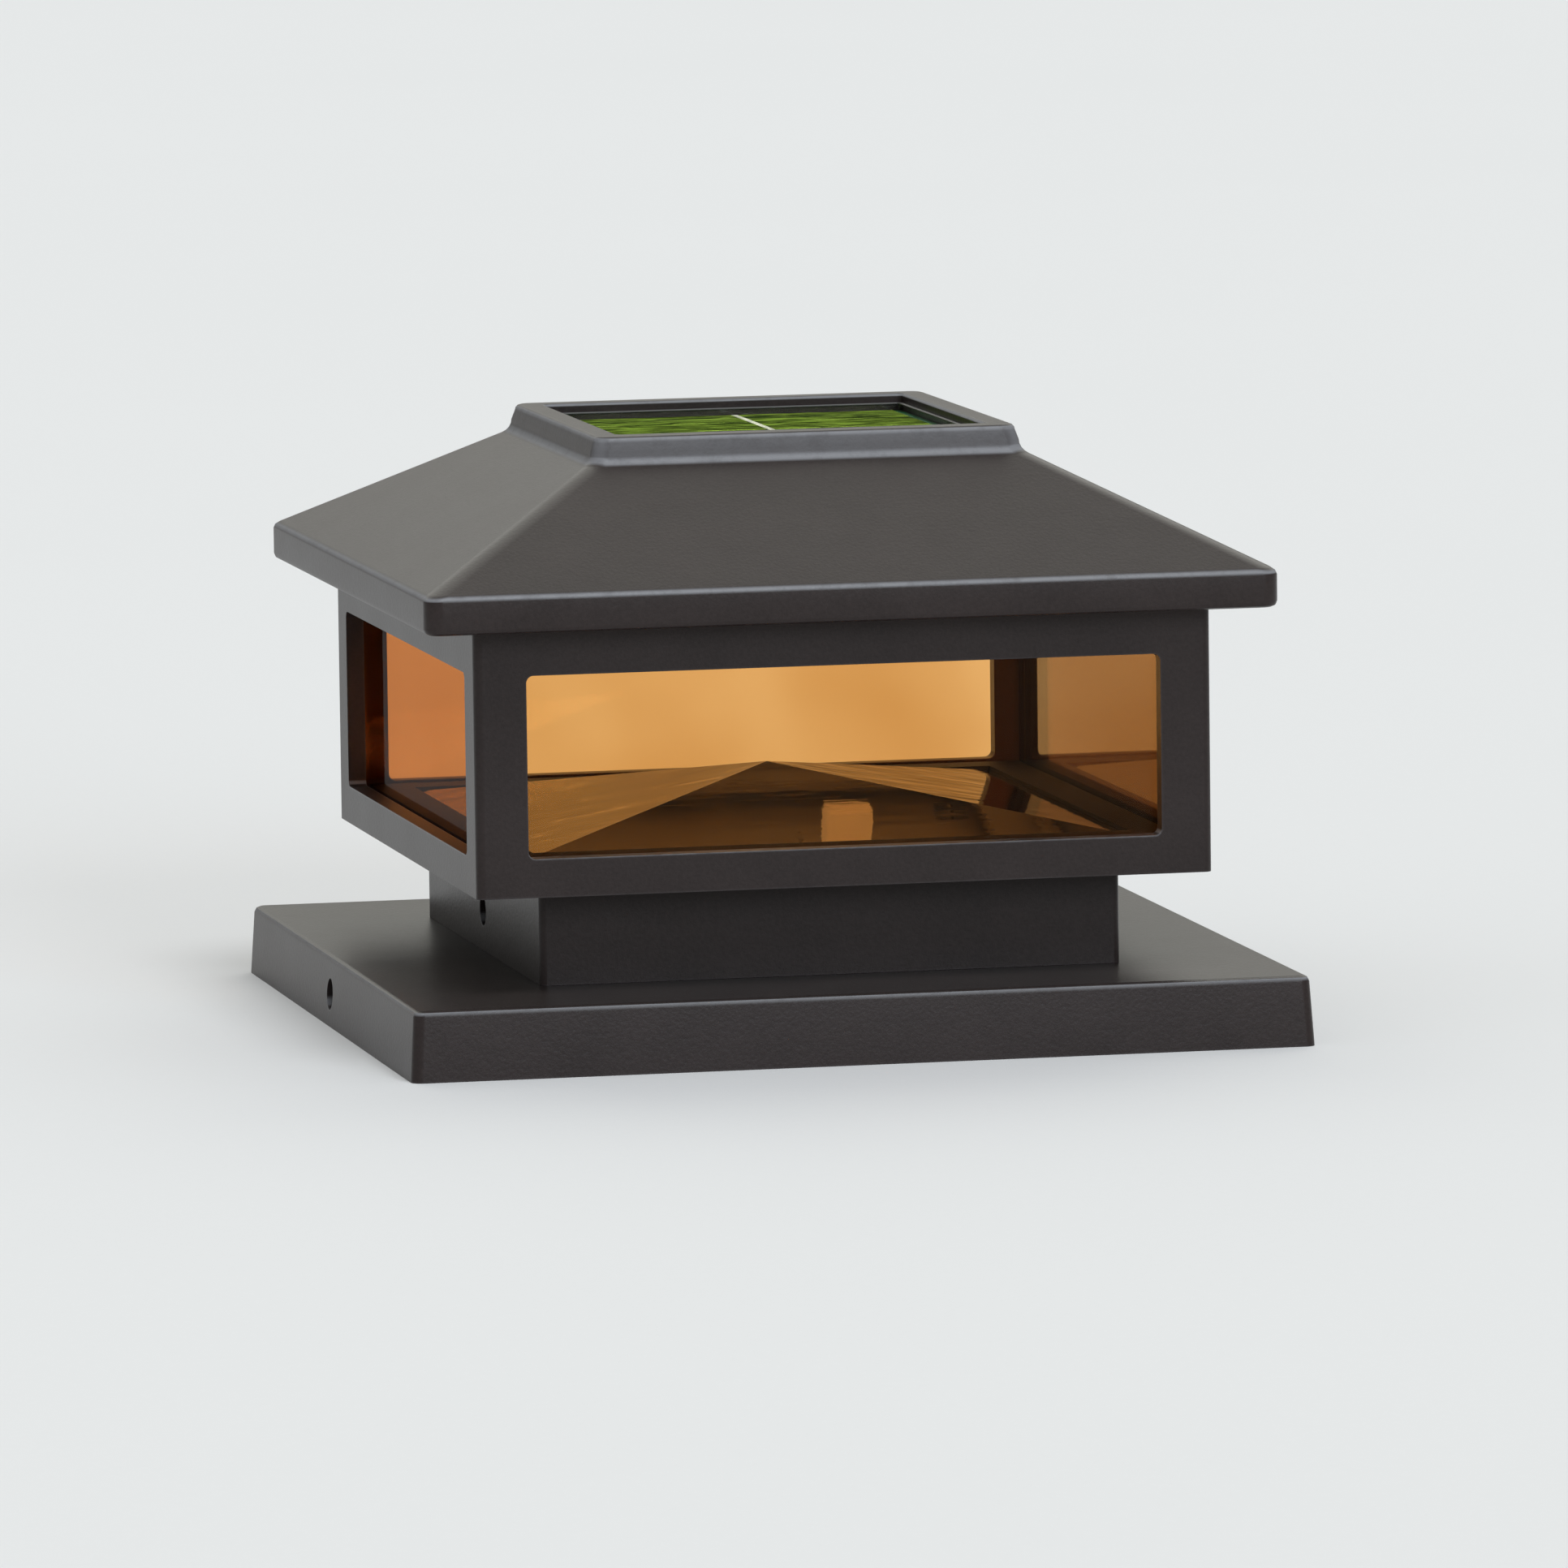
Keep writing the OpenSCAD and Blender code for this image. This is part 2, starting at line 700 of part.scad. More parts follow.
module battery_spring() {
    coils = 3;
    spring_wire = 0.3;                              // radius of the spring's wire
    spring_r = cell_d / 4;
    turn_steps = 16;
    steps = coils * turn_steps;
    travel = spring_l - 2 * spring_wire;
    path = [for (i = [0:steps])
        let (a = 360 * i / turn_steps)
        [cell_x - spring_wire - travel * (1 - i / steps),
            cell_y + spring_r * cos(a), cell_z + spring_r * sin(a)]];
    color(steel) tube(path, spring_wire, [1, 0, 0]);
}

// A contact plate with a tab through the side of the box for its wire
module contact(x) {
    tab_l = box_half_w + box_wall + tab_out - contact_w / 2 + contact_t;
    block(contact_t, contact_w, contact_h, [x, cell_y, cell_z - contact_h / 2]);
    block(contact_t, tab_l, tab_h,
        [x, cell_y + box_half_w + box_wall + tab_out - tab_l / 2, cell_z + tab_rise]);
}

module battery_spring_plate() {
    color(steel) contact(-box_half_l + 0.05 + contact_t / 2);
}

module battery_contact() {
    color(steel) contact(cell_x + cell_l + contact_t / 2);
}

module battery_door() {
    color(black_plastic) {
        block(2 * door_half_l, 2 * door_half_w, door_t, [0, cell_y, door_z]);
        for (i = [0:grip_ribs - 1])
            block(1, door_half_w, grip_h + 0.1, [door_half_l - 3 - i * grip_pitch, cell_y, door_z - grip_h]);
    }
}

// ---- Circuit board and switch

module circuit_board() {
    color([0.1, 0.35, 0.2]) difference() {
        block(board_w, board_d, board_t, [board_x, board_y, board_z]);
        for (x = [-1, 1]) translate([board_x + x * post_x, post_y, board_z - cut])
            cylinder(d = 1.2 * board_screw_d, h = board_t + 2 * cut);
    }
}

module board_screws() {
    color(steel) for (x = [-1, 1])
        translate([board_x + x * post_x, post_y, 0]) {
            translate([0, 0, board_top]) cylinder(d = board_screw_head_d, h = board_screw_head_h);
            translate([0, 0, board_top - board_screw_l]) cylinder(d = board_screw_d, h = board_screw_l);
        }
}

module control_chip() {
    color(black_plastic) block(chip_w, chip_d, chip_h, [chip_x, parts_y, board_top]);
    color(steel) for (i = [0:3], side = [-1, 1])
        block(0.4, 1, 0.5, [chip_x + (i - 1.5) * 1.2, parts_y + side * (chip_d / 2 + 0.45), board_top]);
}

module filter_capacitor() {
    color([0.2, 0.22, 0.3]) translate([capacitor_x, parts_y, board_top])
        cylinder(d = capacitor_d, h = capacitor_h);
}

module boost_coil() {
    flange = 0.8;
    color([0.6, 0.35, 0.15]) translate([coil_x, parts_y, board_top]) {
        cylinder(d = coil_d, h = flange);
        cylinder(d = (coil_core + coil_d) / 2, h = coil_h);
        translate([0, 0, coil_h - flange]) cylinder(d = coil_d, h = flange);
    }
}

module switch_body() {
    color(steel) difference() {
        block(switch_w, switch_d, switch_h, [switch_x + switch_travel / 2, switch_y, tray_top]);
        block(slot_w, slot_d, stem_top - tray_top + slip_gap + cut,
            [switch_x + switch_travel / 2, switch_y, tray_top - cut]);
    }
}

module switch_slider() {
    color(black_plastic) block(stem_w, stem_w, stem_top - stem_z, [switch_x, switch_y, stem_z]);
}

// ---- Lamp

module lamp_holder() {
    color(black_plastic) difference() {
        block(lamp_w + 2 * holder_wall, lamp_d + 2 * holder_wall, holder_h, [lamp_x, lamp_y, holder_z]);
        block(lamp_w + 2 * lamp_gap, lamp_d + 2 * lamp_gap, holder_h + 2 * cut,
            [lamp_x, lamp_y, holder_z - cut]);
        block(lamp_w + holder_wall + 2 * lamp_gap, lamp_d + holder_wall + 2 * lamp_gap,
            lamp_board_t + cut, [lamp_x, lamp_y, lamp_board_z]);
    }
}

module lamp_board() {
    color([0.9, 0.9, 0.88]) block(lamp_w + holder_wall, lamp_d + holder_wall, lamp_board_t,
        [lamp_x, lamp_y, lamp_board_z]);
}

module lamp_emitter() {
    color([0.95, 0.85, 0.4]) block(emitter_w, emitter_w, emitter_t, [lamp_x, lamp_y, emitter_z]);
}

module lamp_block() {
    color([1, 0.8, 0.55]) block(lamp_w, lamp_d, lamp_l, [lamp_x, lamp_y, lamp_z]);
}

// ---- Wires, each pair side by side

module solar_wires() {
    for (i = [0, 1]) color(i == 0 ? "firebrick" : "black")
        tube(bend([-2 * wire_pitch + i * wire_pitch, -wire_pitch, backboard_z], [0, 0, -wire_reach],
            [chip_x + 3 * wire_pitch + i * wire_pitch, board_y - 3 * wire_pitch, board_top],
            [0, 0, -wire_reach]), wire_r, [1, 0, 0]);
}

module battery_wires() {
    tab_y = cell_y + box_half_w + box_wall + tab_out;
    for (end = [[-box_half_l + 0.05 + contact_t / 2, -board_w / 5], [cell_x + cell_l + contact_t / 2, 0]])
        color(end[1] < 0 ? "black" : "firebrick")
            tube(bend([end[0], tab_y, cell_z + tab_rise + tab_h / 2], [0, wire_reach, 0],
                [board_x + end[1], board_y - board_d / 2 + wire_in, board_top], [0, 0, -wire_reach]),
                wire_r, [1, 0, 0]);
}

module lamp_wires() {
    for (i = [0, 1]) color(i == 0 ? "firebrick" : "black")
        tube(bend([lamp_x - lamp_wire_in, lamp_y + i * wire_pitch, tray_z], [0, 0, 2 * wire_reach],
            [board_x + board_w / 2 - wire_in, lamp_y + (i - 3) * wire_pitch, board_top],
            [0, 0, -1.5 * wire_reach]), wire_r, [0, 1, 0]);
}

post_skirt();
post_collar();
floor_plate();
lantern_frame();
frame_screws();
mirror_pyramid();
pane_front();
pane_back();
pane_left();
pane_right();
lower_glazing_frame();
upper_glazing_frame();
keeper_plates();
roof_gasket();
roof_shell();
roof_tray();
tray_screws();
roof_magnets();
panel_seal();
panel_backboard();
solar_cells();
solar_busbar();
panel_cover();
panel_bead();
circuit_board();
board_screws();
control_chip();
filter_capacitor();
boost_coil();
switch_body();
switch_slider();
battery_cell();
battery_spring();
battery_spring_plate();
battery_contact();
battery_door();
lamp_holder();
lamp_board();
lamp_emitter();
lamp_block();
solar_wires();
battery_wires();
lamp_wires();
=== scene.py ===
import json
import math

import bpy
from mathutils import Matrix, Vector

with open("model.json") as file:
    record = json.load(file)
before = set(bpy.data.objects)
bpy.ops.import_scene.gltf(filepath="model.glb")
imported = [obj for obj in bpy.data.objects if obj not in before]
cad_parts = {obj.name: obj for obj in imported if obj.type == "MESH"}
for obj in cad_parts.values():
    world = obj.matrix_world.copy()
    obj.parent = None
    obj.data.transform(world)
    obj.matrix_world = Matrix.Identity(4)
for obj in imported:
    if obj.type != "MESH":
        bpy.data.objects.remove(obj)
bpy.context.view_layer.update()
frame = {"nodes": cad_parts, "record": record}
cad = frame["nodes"]
mm = 0.001
print("frame loaded:", len(cad), "nodes")


# Small helpers for shader trees

def join(tree, source, target):
    tree.links.new(source, target)


def feed(tree, value, socket):
    # A number or colour is set, and what another node puts out is joined
    if isinstance(value, (int, float)):
        socket.default_value = value
    elif isinstance(value, tuple):
        socket.default_value = (*value, 1.0)
    else:
        join(tree, value, socket)


def addNode(tree, kind, sockets=None, **settings):
    node = tree.nodes.new("ShaderNode" + kind)
    for name, value in settings.items():
        setattr(node, name, value)
    for name, value in (sockets or {}).items():
        node.inputs[name].default_value = value
    return node


def calculate(tree, operation, first, second=0.0, clamp=False):
    node = addNode(tree, "Math", operation=operation, use_clamp=clamp)
    feed(tree, first, node.inputs[0])
    feed(tree, second, node.inputs[1])
    return node.outputs[0]


def risesFrom(tree, value, start, gain):
    # 0 up to start, then climbs to 1
    return calculate(tree, "MULTIPLY", calculate(tree, "SUBTRACT", value, start), gain, clamp=True)


def fallsTo(tree, value, end, gain):
    # Sinks to 0 at end
    return calculate(tree, "MULTIPLY", calculate(tree, "SUBTRACT", end, value), gain, clamp=True)


def mixColours(tree, factor, first, second, blend="MIX"):
    node = addNode(tree, "Mix", data_type="RGBA", blend_type=blend)
    # Sockets 6 and 7 are the two colours
    feed(tree, factor, node.inputs[0])
    feed(tree, first, node.inputs[6])
    feed(tree, second, node.inputs[7])
    return node.outputs[2]


def placeOn(tree):
    return addNode(tree, "TexCoord").outputs["Object"]


def splitAxes(tree, vector):
    node = addNode(tree, "SeparateXYZ")
    join(tree, vector, node.inputs[0])
    return node.outputs


def noise(tree, place, size, detail=2.0, roughness=0.5, distortion=0.0):
    node = addNode(tree, "TexNoise")
    values = {"Vector": place, "Scale": calculate(tree, "DIVIDE", 1.0, size),
              "Detail": detail, "Roughness": roughness, "Distortion": distortion}
    for name, value in values.items():
        feed(tree, value, node.inputs[name])
    return node.outputs["Fac"]


def newGroup(name, inputs, outputs):
    group = bpy.data.node_groups.new(name, "ShaderNodeTree")
    for label, value in inputs.items():
        kind = "NodeSocketColor" if isinstance(value, tuple) else "NodeSocketFloat"
        socket = group.interface.new_socket(label, in_out="INPUT", socket_type=kind)
        feed(group, value, socket)
    for label in outputs:
        kind = "NodeSocketColor" if label == "Colour" else "NodeSocketFloat"
        group.interface.new_socket(label, in_out="OUTPUT", socket_type=kind)
    given = group.nodes.new("NodeGroupInput").outputs
    out = group.nodes.new("NodeGroupOutput").inputs
    return group, given, out


def useGroup(tree, group, values):
    node = tree.nodes.new("ShaderNodeGroup")
    node.node_tree = group
    for label, value in values.items():
        feed(tree, value, node.inputs[label])
    return node.outputs


# Shader effects that several materials share

def makeGrainGroup():
    # Fine grain and soft patches in colour, roughness and height
    group, given, out = newGroup("Fine grain", {
        "Colour": (0.5, 0.5, 0.5), "Grain Size": 0.5 * mm, "Patch Size": 12 * mm,
        "Tone Spread": 0.3, "Roughness": 0.5, "Roughness Spread": 0.1,
    }, ["Colour", "Roughness", "Height"])
    place = placeOn(group)
    grain = noise(group, place, given["Grain Size"], 3.0, 0.6)
    patch = noise(group, place, given["Patch Size"], 3.0, 0.55)
    both = calculate(group, "SUBTRACT", calculate(group, "ADD", grain, patch), 1.0)
    tone = calculate(group, "ADD", calculate(group, "MULTIPLY", both, given["Tone Spread"]), 1.0)
    toned = addNode(group, "VectorMath", operation="SCALE")
    join(group, given["Colour"], toned.inputs[0])
    join(group, tone, toned.inputs["Scale"])
    spread = calculate(group, "MULTIPLY", both, given["Roughness Spread"])
    rough = calculate(group, "ADD", spread, given["Roughness"], clamp=True)
    join(group, toned.outputs[0], out["Colour"])
    join(group, rough, out["Roughness"])
    join(group, grain, out["Height"])
    return group


# "From" and "To" are heights of a normal that looks up with 1
# The round keys shape the painted highlight where a surface rounds over from side to top
edgeShape = {
    "samples": 6, "sharpGain": 6.0, "breakGain": 1.6, "upFrom": 0.12, "upGain": 3.0,
    "roundFrom": 0.2, "roundGain": 4.0, "roundTo": 0.86, "roundFall": 7.0,
    "roundFloor": 0.6, "roundShare": 0.7,
}


def makeEdgeWearAndHighlightGroup(shape):
    # Rubbed: sharp edges, most of all the upper ones, which also carry a painted highlight; and a painted
    # highlight on what rounds over from side to top
    group, given, out = newGroup("Rubbed edges", {
        "Width": 0.5 * mm, "Break Size": 3 * mm, "Amount": 0.5, "Lower": 0.3, "Rounds": 0.5,
    }, ["Mask"])
    bevel = addNode(group, "Bevel", samples=shape["samples"])
    join(group, given["Width"], bevel.inputs["Radius"])
    faceNormal = addNode(group, "NewGeometry").outputs["Normal"]
    facing = addNode(group, "VectorMath", operation="DOT_PRODUCT")
    join(group, bevel.outputs["Normal"], facing.inputs[0])
    join(group, faceNormal, facing.inputs[1])
    turn = calculate(group, "SUBTRACT", 1.0, facing.outputs["Value"])
    turned = calculate(group, "MULTIPLY", turn, shape["sharpGain"], clamp=True)
    speckle = noise(group, placeOn(group), given["Break Size"], 4.0, 0.7)
    broken = calculate(group, "MULTIPLY", speckle, shape["breakGain"], clamp=True)
    # Upper edges take the full amount, lower ones the Lower share: rubbed, and on the upper edges a
    # painted highlight as well
    bevelZ = splitAxes(group, bevel.outputs["Normal"])["Z"]
    upper = risesFrom(group, bevelZ, shape["upFrom"], shape["upGain"])
    height = calculate(group, "MAXIMUM", upper, given["Lower"])
    rubbed = calculate(group, "MULTIPLY", turned, broken)
    rubbed = calculate(group, "MULTIPLY", rubbed, given["Amount"], clamp=True)
    sharp = calculate(group, "MULTIPLY", rubbed, height)
    # Painted highlight: lighter where the surface rounds over from side to top, broken up by the speckle
    faceZ = splitAxes(group, faceNormal)["Z"]
    leaves = risesFrom(group, faceZ, shape["roundFrom"], shape["roundGain"])
    arrives = fallsTo(group, faceZ, shape["roundTo"], shape["roundFall"])
    rounded = calculate(group, "MULTIPLY", calculate(group, "MULTIPLY", leaves, arrives), given["Rounds"])
    patchy = calculate(group, "ADD", broken, shape["roundFloor"])
    patchy = calculate(group, "MULTIPLY", patchy, shape["roundShare"], clamp=True)
    rounded = calculate(group, "MULTIPLY", rounded, patchy)
    join(group, calculate(group, "MAXIMUM", sharp, rounded), out["Mask"])
    return group


dustShape = {"levelFrom": 0.55, "levelGain": 2.2, "speckle": 0.35 * mm}


def makeDustGroup(shape):
    # Dust that settles on faces that look up
    group, given, out = newGroup("Settled dust", {"Patch Size": 9 * mm, "Amount": 0.2}, ["Mask"])
    faceZ = splitAxes(group, addNode(group, "NewGeometry").outputs["Normal"])["Z"]
    level = risesFrom(group, faceZ, shape["levelFrom"], shape["levelGain"])
    place = placeOn(group)
    speckle = noise(group, place, shape["speckle"], 2.0)
    patch = noise(group, place, given["Patch Size"], 4.0, 0.6)
    dusty = calculate(group, "MULTIPLY", level, calculate(group, "MULTIPLY", speckle, patch))
    join(group, calculate(group, "MULTIPLY", dusty, given["Amount"], clamp=True), out["Mask"])
    return group


def makeSmearGroup():
    # Faint smears on polished faces
    group, given, out = newGroup("Smears", {
        "Smear Size": 14 * mm, "Roughness": 0.02, "Spread": 0.05,
    }, ["Roughness"])
    smear = noise(group, placeOn(group), given["Smear Size"], 5.0, 0.6, 0.8)
    smeared = calculate(group, "MULTIPLY", risesFrom(group, smear, 0.52, 5.0), given["Spread"])
    join(group, calculate(group, "ADD", smeared, given["Roughness"]), out["Roughness"])
    return group


def makeStreakGroup():
    # Streaks drawn out along X
    group, given, out = newGroup("Drawn streaks", {
        "Size": 1.5 * mm, "Stretch": 0.15, "Upright": 1.0, "Detail": 2.0, "Breakup": 0.5, "Swirl": 0.0,
    }, ["Height"])
    drawn = addNode(group, "CombineXYZ", {"Y": 1.0})
    join(group, given["Stretch"], drawn.inputs["X"])
    join(group, given["Upright"], drawn.inputs["Z"])
    mapping = addNode(group, "Mapping")
    join(group, placeOn(group), mapping.inputs["Vector"])
    join(group, drawn.outputs[0], mapping.inputs["Scale"])
    streak = noise(group, mapping.outputs[0], given["Size"], given["Detail"], given["Breakup"],
                   given["Swirl"])
    join(group, streak, out["Height"])
    return group


def makeTwoWiresGroup():
    # One colour to the left of the split and another to the right, over the given grain
    group, given, out = newGroup("Two wires", {
        "Colour": (0.5, 0.5, 0.5), "Split": 0.0, "Left": (0.0, 0.0, 0.0), "Right": (0.5, 0.0, 0.0),
    }, ["Colour"])
    right = calculate(group, "GREATER_THAN", splitAxes(group, placeOn(group))["X"], given["Split"])
    colour = mixColours(group, right, given["Left"], given["Right"])
    join(group, mixColours(group, 0.25, colour, given["Colour"], "MULTIPLY"), out["Colour"])
    return group


grainGroup = makeGrainGroup()
edgeWearAndHighlightGroup = makeEdgeWearAndHighlightGroup(edgeShape)
dustGroup = makeDustGroup(dustShape)
smearGroup = makeSmearGroup()
streakGroup = makeStreakGroup()
twoWiresGroup = makeTwoWiresGroup()
print("shader groups made")


# Helpers for materials

def newMaterial(name, sockets=None):
    material = bpy.data.materials.new(name)
    material.use_nodes = True
    tree = material.node_tree
    tree.nodes.clear()
    shader = addNode(tree, "BsdfPrincipled", sockets)
    output = addNode(tree, "OutputMaterial")
    join(tree, shader.outputs[0], output.inputs["Surface"])
    return material, tree, shader, output


def addBump(tree, shader, height, depth):
    bump = addNode(tree, "Bump", {"Strength": 1.0, "Distance": depth})
    join(tree, height, bump.inputs["Height"])
    join(tree, bump.outputs["Normal"], shader.inputs["Normal"])


def addSmears(tree, shader, look):
    smears = useGroup(tree, smearGroup, {
        "Smear Size": look["smear"], "Roughness": look["rough"], "Spread": look["spread"],
    })
    join(tree, smears["Roughness"], shader.inputs["Roughness"])


def letLampsThrough(tree, shader, output, tint):
    # Light from the lamps passes straight through the glass, and everything else meets its surface
    straight = addNode(tree, "BsdfTransparent", {"Color": (*tint, 1.0)})
    either = addNode(tree, "MixShader")
    join(tree, addNode(tree, "LightPath").outputs["Is Shadow Ray"], either.inputs[0])
    join(tree, shader.outputs[0], either.inputs[1])
    join(tree, straight.outputs[0], either.inputs[2])
    join(tree, either.outputs[0], output.inputs["Surface"])


def grained(name, look, sockets=None, bumped=True):
    # A finish with grain: moulded plastic, foam, rubber, board, plated metal
    material, tree, shader, output = newMaterial(name, sockets)
    grain = useGroup(tree, grainGroup, {
        "Colour": look["colour"], "Grain Size": look["grain"], "Patch Size": look["patch"],
        "Tone Spread": look["tone"], "Roughness": look["rough"], "Roughness Spread": look["roughSpread"],
    })
    join(tree, grain["Colour"], shader.inputs["Base Color"])
    join(tree, grain["Roughness"], shader.inputs["Roughness"])
    if bumped:
        addBump(tree, shader, grain["Height"], look["depth"])
    return material, tree, shader, grain


# Dark bronze satin powder coat: fine orange peel, rubbed edges that also carry a painted highlight, a
# painted highlight on the rounds from side to top, a little dust on top

powderLook = {
    "colour": (0.0275, 0.0205, 0.0195), "grain": 0.65 * mm, "patch": 16 * mm, "tone": 0.55,
    "rough": 0.32, "roughSpread": 0.05, "depth": 0.035 * mm, "shine": 0.17,
    "worn": (0.20, 0.20, 0.21), "edge": 0.6 * mm, "edgeBreak": 3 * mm,
    # The first amount below rubs the edges and also lays on the painted highlight of the upper edges
    "wear": 0.9, "lowWear": 0.12, "roundHighlight": 1.0,
    "dust": (0.13, 0.12, 0.105), "dustPatch": 9 * mm, "dustAmount": 0.26,
}


def makePowderCoat(look):
    material, tree, shader, grain = grained("powderCoat", look, {"Specular IOR Level": look["shine"]})
    edge = useGroup(tree, edgeWearAndHighlightGroup, {
        "Width": look["edge"], "Break Size": look["edgeBreak"], "Amount": look["wear"],
        "Lower": look["lowWear"], "Rounds": look["roundHighlight"],
    })
    dust = useGroup(tree, dustGroup, {"Patch Size": look["dustPatch"], "Amount": look["dustAmount"]})
    # The lighter colour on the mask: rubbed edges, with a painted highlight on the upper edges and the
    # rounds
    rubbed = mixColours(tree, edge["Mask"], grain["Colour"], look["worn"])
    dusty = mixColours(tree, dust["Mask"], rubbed, look["dust"])
    join(tree, dusty, shader.inputs["Base Color"])
    return material


# Clear amber glass, clouded a little and deeper where it is seen at a slant

amberLook = {
    "tint": (1.0, 0.72, 0.41), "uneven": (0.88, 0.58, 0.28), "patch": 42 * mm,
    "unevenFrom": 0.42, "unevenGain": 3.5,
    "deep": (0.64, 0.27, 0.09), "deepFrom": 0.4, "deepGain": 2.4,
    "smoked": (0.12, 0.042, 0.016), "smokedFrom": 0.5, "smokedGain": 4.0,
    "ior": 1.02, "gloss": 0.03, "glossTo": 0.7, "outside": 0.15,
    "smear": 16 * mm, "rough": 0.0, "spread": 0.03,
}


def makeAmberGlass(look):
    material, tree, shader, output = newMaterial("amberGlass", {
        "IOR": look["ior"], "Transmission Weight": 1.0, "Coat Roughness": look["gloss"],
    })
    place = placeOn(tree)
    cloud = risesFrom(tree, noise(tree, place, look["patch"], 2.0, 0.5), look["unevenFrom"],
                      look["unevenGain"])
    clouded = mixColours(tree, cloud, look["tint"], look["uneven"])
    slant = addNode(tree, "LayerWeight", {"Blend": 0.5}).outputs["Facing"]
    deep = risesFrom(tree, slant, look["deepFrom"], look["deepGain"])
    # Seen from the lantern's middle at a slant, a pane mirrors the inside and lets little through
    outward = addNode(tree, "VectorMath", operation="DOT_PRODUCT")
    join(tree, addNode(tree, "TexCoord").outputs["Normal"], outward.inputs[0])
    join(tree, place, outward.inputs[1])
    inside = calculate(tree, "LESS_THAN", outward.outputs["Value"], 0.0)
    steep = risesFrom(tree, slant, look["smokedFrom"], look["smokedGain"])
    inner = calculate(tree, "MULTIPLY", steep, inside)
    tinted = mixColours(tree, deep, clouded, look["deep"])
    join(tree, mixColours(tree, inner, tinted, look["smoked"]), shader.inputs["Base Color"])
    addSmears(tree, shader, look)
    outer = fallsTo(tree, slant, look["glossTo"], look["outside"])
    join(tree, calculate(tree, "MAXIMUM", inner, outer), shader.inputs["Coat Weight"])
    letLampsThrough(tree, shader, output, look["tint"])
    return material


# Clear resin cover, gelled to the wafers: its gloss shows from above and fades at a slant

coverLook = {
    "tint": (0.97, 0.99, 0.96), "ior": 1.004, "gloss": 0.08, "glossTo": 0.86, "glossGain": 1.5,
    "smear": 6 * mm, "rough": 0.02, "spread": 0.04,
    "wave": 1.5 * mm, "stretch": 0.13, "depth": 0.01 * mm,
}


def makeClearCover(look):
    material, tree, shader, output = newMaterial("clearCover", {
        "Base Color": (*look["tint"], 1.0), "IOR": look["ior"], "Transmission Weight": 1.0,
        "Coat Roughness": look["gloss"],
    })
    slant = addNode(tree, "LayerWeight", {"Blend": 0.5}).outputs["Facing"]
    join(tree, fallsTo(tree, slant, look["glossTo"], look["glossGain"]), shader.inputs["Coat Weight"])
    addSmears(tree, shader, look)
    waves = useGroup(tree, streakGroup, {
        "Size": look["wave"], "Stretch": look["stretch"], "Upright": 0.0,
        "Detail": 2.0, "Breakup": 0.4, "Swirl": 0.6,
    })
    addBump(tree, shader, waves["Height"], look["depth"])
    letLampsThrough(tree, shader, output, look["tint"])
    return material


# Warm mirror film on the pyramid, slightly wavy and drawn along X

mirrorLook = {
    "colour": (0.95, 0.77, 0.50), "smear": 7 * mm, "rough": 0.03, "spread": 0.10,
    "wave": 9 * mm, "waveDepth": 0.05 * mm, "streak": 5 * mm, "stretch": 0.12, "streakDepth": 0.05 * mm,
}


def makeMirrorFilm(look):
    material, tree, shader, output = newMaterial("mirrorFilm", {
        "Base Color": (*look["colour"], 1.0), "Metallic": 1.0,
    })
    addSmears(tree, shader, look)
    wave = calculate(tree, "MULTIPLY", noise(tree, placeOn(tree), look["wave"]), look["waveDepth"])
    streaks = useGroup(tree, streakGroup, {
        "Size": look["streak"], "Stretch": look["stretch"], "Detail": 3.0,
    })
    streak = calculate(tree, "MULTIPLY", streaks["Height"], look["streakDepth"])
    addBump(tree, shader, calculate(tree, "ADD", wave, streak), 1.0)    # the height is in metres
    return material


# Green-tinted silicon under fine dark fingers, with light wavy streaks along X painted on as a reflection

# The light colour is a painted reflection in the streaks
waferLook = {
    "dark": (0.05, 0.08, 0.013), "light": (0.42, 0.55, 0.085), "rough": 0.55, "shine": 0.0,
    "streak": 1.3 * mm, "stretch": 0.16, "reflectionStreakFrom": 0.43, "reflectionStreakGain": 6.0,
    "finger": (0.006, 0.010, 0.003), "pitch": 1.55 * mm, "halfLine": 0.09, "shade": 0.75,
    "bend": 0.9 * mm, "bendSize": 16 * mm,
}


def makeSolarWafer(look):
    material, tree, shader, output = newMaterial("solarWafer", {
        "Roughness": look["rough"], "Specular IOR Level": look["shine"],
    })
    streaks = useGroup(tree, streakGroup, {
        "Size": look["streak"], "Stretch": look["stretch"],
        "Detail": 4.0, "Breakup": 0.6, "Swirl": 0.7,
    })
    # Painted reflection: where the streaks rise past the threshold they take the light colour
    sharp = risesFrom(tree, streaks["Height"], look["reflectionStreakFrom"], look["reflectionStreakGain"])
    body = mixColours(tree, sharp, look["dark"], look["light"])
    place = placeOn(tree)
    bend = calculate(tree, "MULTIPLY", noise(tree, place, look["bendSize"], 1.0), look["bend"])
    along = calculate(tree, "ADD", splitAxes(tree, place)["Y"], bend)
    along = calculate(tree, "ADD", along, 1.0)    # a metre more keeps it above zero
    step = calculate(tree, "FRACT", calculate(tree, "DIVIDE", along, look["pitch"]))
    apart = calculate(tree, "ABSOLUTE", calculate(tree, "SUBTRACT", step, 0.5))
    line = calculate(tree, "LESS_THAN", apart, look["halfLine"])
    shown = mixColours(tree, calculate(tree, "MULTIPLY", line, look["shade"]), body, look["finger"])
    join(tree, shown, shader.inputs["Base Color"])
    return material


# Enamelled winding: fine turns round the upright core

